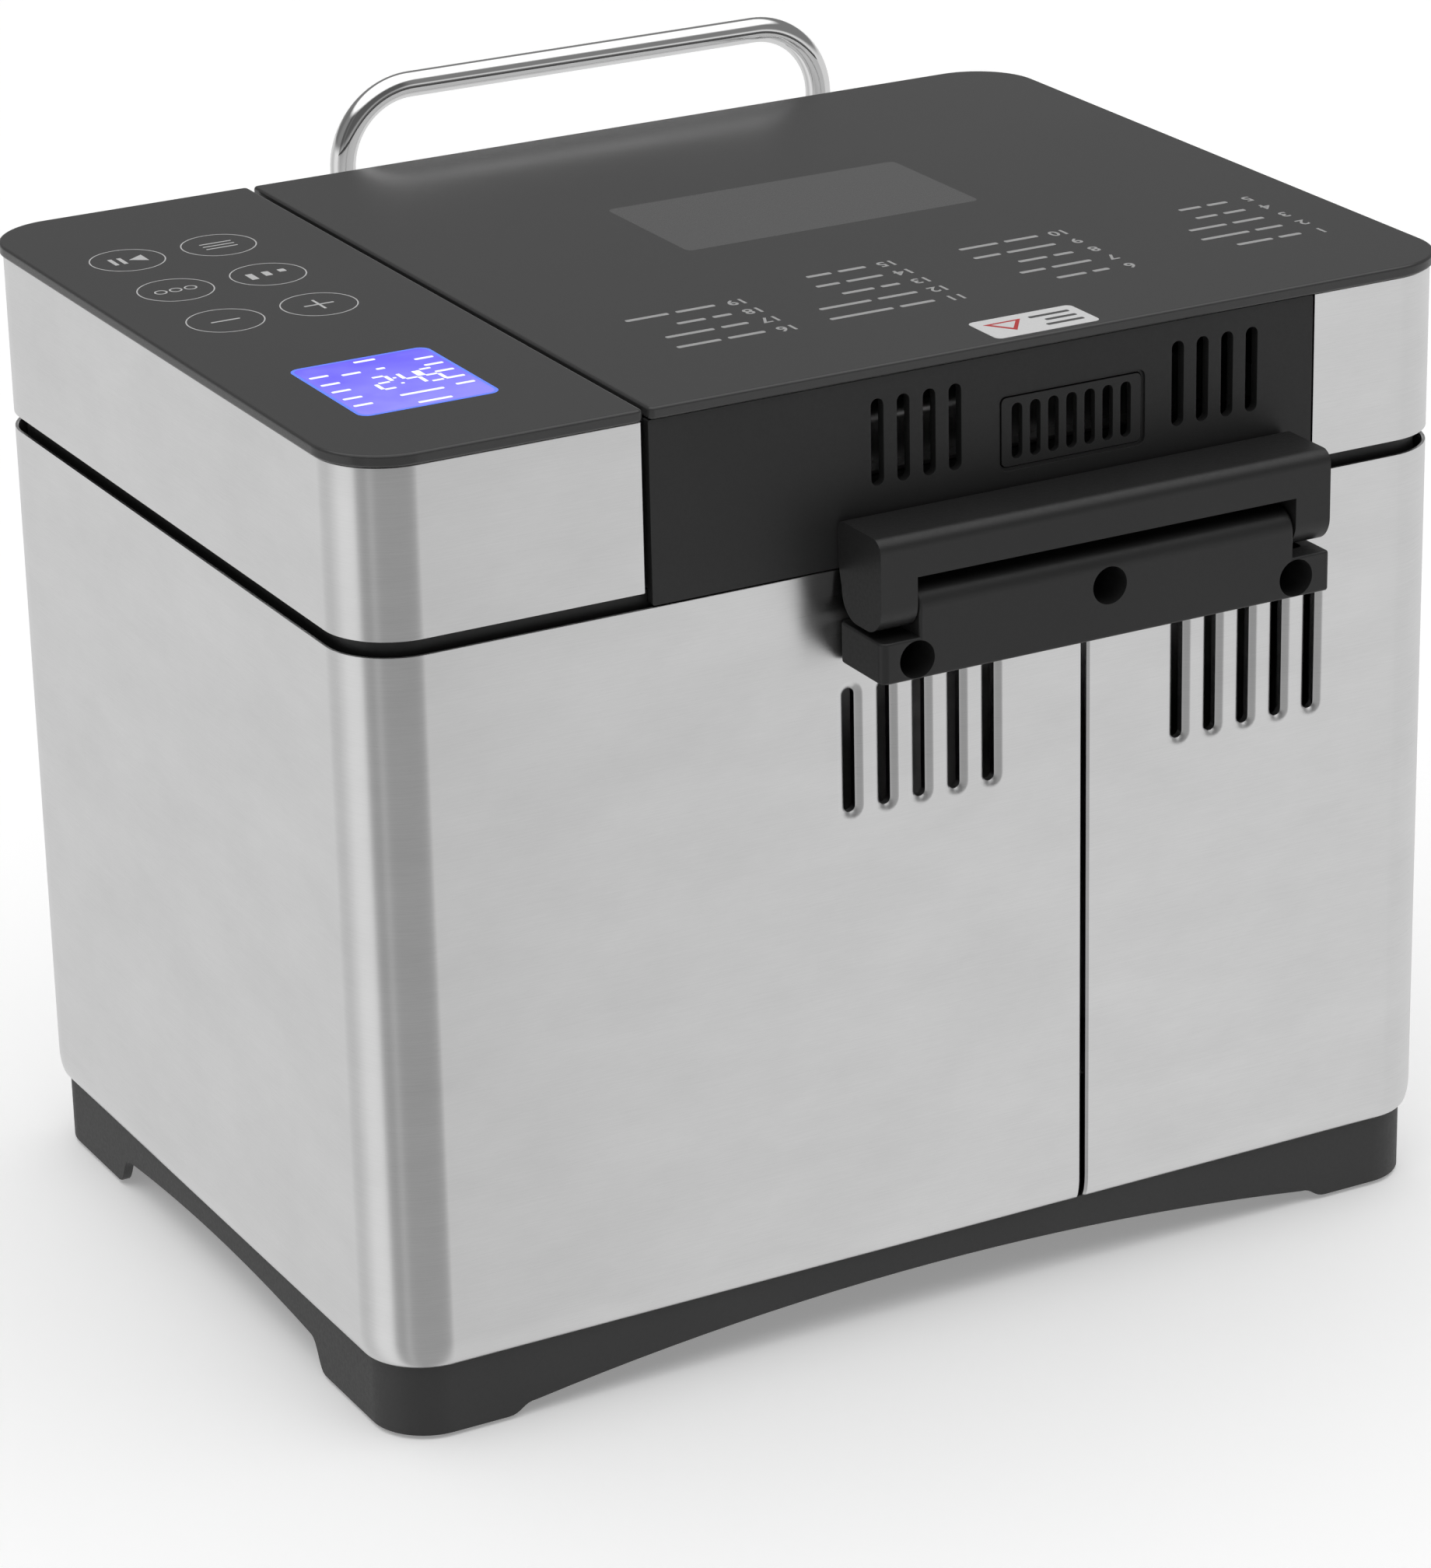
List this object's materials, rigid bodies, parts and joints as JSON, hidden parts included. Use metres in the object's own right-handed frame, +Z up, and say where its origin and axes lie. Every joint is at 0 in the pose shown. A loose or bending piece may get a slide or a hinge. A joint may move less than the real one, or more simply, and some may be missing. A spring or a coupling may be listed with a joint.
{
  "type": "bread machine",
  "caption": "Countertop bread machine: brushed steel box with a hinged glass-topped lid, touch control strip, oven chamber, lift-out pan and belt-driven kneading paddle.",
  "frame": {"origin": "on the worktop under the middle of the whole object, hinge and handle included", "axes": "+Z up, +X to the right of a user who stands at the handle side, +Y from the user towards the hinge"},
  "size_m": [0.3524, 0.318, 0.3086],
  "materials": {
    "brushed_steel": "brushed",
    "black_plastic": "fine matte",
    "charcoal_plastic": "fine matte",
    "black_glass": "back-printed glass, gloss",
    "clear_glass": "clear",
    "display": "backlit panel",
    "chrome": "polished",
    "rubber": "matte",
    "silicone": "matte",
    "zinc_steel": "zinc plated",
    "aluminium": "satin",
    "non_stick": "non-stick coat",
    "circuit_board": "solder mask",
    "sensor_brass": "plated"
  },
  "bodies": {
    "housing": {"base_tray": "charcoal_plastic", "foot_pad_1": "rubber", "foot_pad_2": "rubber", "foot_pad_3": "rubber", "foot_pad_4": "rubber", "cord_gland": "rubber", "body_wrap": "brushed_steel", "top_deck": "black_plastic", "chassis_plate": "zinc_steel", "oven_chamber": "aluminium", "heating_element": "zinc_steel", "temperature_sensor": "zinc_steel", "pan_seat": "zinc_steel", "drive_belt": "rubber", "drive_bearing": "aluminium", "motor": "zinc_steel", "motor_bracket": "zinc_steel", "motor_capacitor": "charcoal_plastic", "control_shell": "brushed_steel", "control_glass": "black_glass", "display_module": "display", "control_board": "circuit_board", "touch_sensor_board": "sensor_brass", "power_board": "circuit_board", "board_carrier": "black_plastic", "hinge_bracket": "charcoal_plastic", "hinge_screw_1": "zinc_steel", "hinge_screw_2": "zinc_steel", "hinge_screw_3": "zinc_steel", "hinge_backing_plate": "zinc_steel"},
    "lid": {"lid_shell": "brushed_steel", "lid_rear_panel": "black_plastic", "lid_vent_grille": "black_plastic", "lid_frame": "black_plastic", "lid_inner_cover": "aluminium", "lid_inner_pane": "clear_glass", "window_well": "black_plastic", "lid_seal": "silicone", "lid_glass": "black_glass", "lid_handle": "chrome", "handle_collar_left": "chrome", "handle_collar_right": "chrome", "hinge_upper": "black_plastic", "hinge_pin_left": "zinc_steel", "hinge_pin_right": "zinc_steel"},
    "pan": {"bread_pan": "non_stick", "pan_base_ring": "aluminium", "pan_bearing": "aluminium", "shaft_seal": "silicone", "bail_rivet_left": "zinc_steel", "bail_rivet_right": "zinc_steel"},
    "bail": {"pan_bail": "zinc_steel"},
    "mixer": {"pan_shaft": "zinc_steel"},
    "paddle": {"kneading_paddle": "non_stick"},
    "drive": {"driven_pulley": "aluminium", "drive_shaft": "zinc_steel", "drive_dog": "zinc_steel"},
    "motor_rotor": {"motor_pulley": "zinc_steel", "motor_shaft": "zinc_steel"}
  },
  "joints": [
    {"name": "lid_hinge", "type": "hinge", "parent": "housing", "child": "lid", "pos_m": [-0.043, 0.151, 0.2295], "axis": [-1, 0, 0], "range_deg": [0, 80]},
    {"name": "pan_lift", "type": "slide", "parent": "housing", "child": "pan", "axis": [0, 0, 1], "range_m": [0, 0.015]},
    {"name": "bail_swing", "type": "hinge", "parent": "pan", "child": "bail", "pos_m": [-0.044, 0.008, 0.2178], "axis": [-1, 0, 0], "range_deg": [0, 14]},
    {"name": "drive_spin", "type": "hinge", "parent": "housing", "child": "drive", "pos_m": [-0.044, 0.008, 0.036], "axis": [0, 0, 1], "continuous": true},
    {"name": "mixer_spin", "type": "hinge", "parent": "pan", "child": "mixer", "pos_m": [-0.044, 0.008, 0.08], "axis": [0, 0, 1], "continuous": true},
    {"name": "motor_spin", "type": "hinge", "parent": "housing", "child": "motor_rotor", "pos_m": [0.125, 0.008, 0.036], "axis": [0, 0, 1], "continuous": true},
    {"name": "paddle_slide", "type": "slide", "parent": "mixer", "child": "paddle", "axis": [0, 0, 1], "range_m": [0, 0.025]}
  ],
  "couplings": [
    {"joint": "mixer_spin", "follows": "drive_spin", "ratio": 1},
    {"joint": "motor_spin", "follows": "drive_spin", "ratio": 8.7778}
  ]
}
